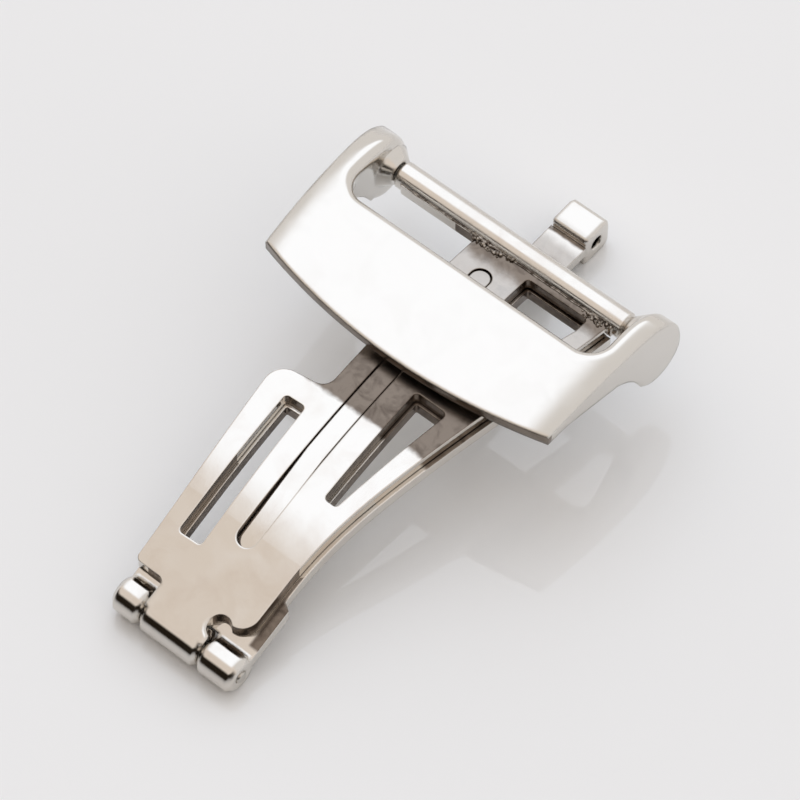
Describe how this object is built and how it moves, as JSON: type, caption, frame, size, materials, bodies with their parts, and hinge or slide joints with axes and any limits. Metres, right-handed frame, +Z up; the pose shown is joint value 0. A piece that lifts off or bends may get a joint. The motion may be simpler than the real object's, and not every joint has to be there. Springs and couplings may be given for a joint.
{
  "type": "deployment clasp",
  "caption": "Polished steel single-fold watch strap clasp, closed: two arched slotted blades on a barrel hinge, a curved frame over them on a cross tube, and a bored lug on a dropped strip.",
  "frame": {"origin": "Middle of the bounding box in X and Y, at the height of its lowest faces.", "axes": "X runs along the hinge and the cross tube, Y from the hinge to the end lug, Z up from the wrist side to the outside."},
  "size_m": [0.0224, 0.0392, 0.0095],
  "materials": {
    "polished_steel": "mirror-polished stainless steel with fine wear scratches",
    "pin_steel": "turned stainless steel, satin",
    "spring_steel": "drawn spring wire"
  },
  "bodies": {
    "lower_part": {"lower_blade": "polished_steel", "end_lug": "polished_steel", "hinge_pin": "pin_steel"},
    "upper_part": {"upper_blade": "polished_steel", "cross_tube": "polished_steel", "spring_bar_tube": "pin_steel", "spring_bar_spring": "spring_steel"},
    "frame": {"buckle_frame": "polished_steel"},
    "tip_left": {"spring_bar_tip_left": "pin_steel"},
    "tip_right": {"spring_bar_tip_right": "pin_steel"}
  },
  "joints": [
    {"name": "blade_fold", "type": "hinge", "parent": "lower_part", "child": "upper_part", "pos_m": [0, -0.01834, 0.00122], "axis": [1, 0, 0], "range_deg": [0, 170]},
    {"name": "frame_lift", "type": "hinge", "parent": "upper_part", "child": "frame", "pos_m": [0, 0.01186, 0.00655], "axis": [-1, 0, 0], "range_deg": [0, 120]},
    {"name": "tip_left_press", "type": "slide", "parent": "upper_part", "child": "tip_left", "axis": [1, 0, 0], "range_m": [0, 0.0011], "stiffness_N_per_m": 400, "springref_m": -0.0008, "deforming": ["spring_bar_spring"]},
    {"name": "tip_right_press", "type": "slide", "parent": "upper_part", "child": "tip_right", "axis": [-1, 0, 0], "range_m": [0, 0.0011], "stiffness_N_per_m": 400, "springref_m": -0.0008, "deforming": ["spring_bar_spring"]}
  ]
}
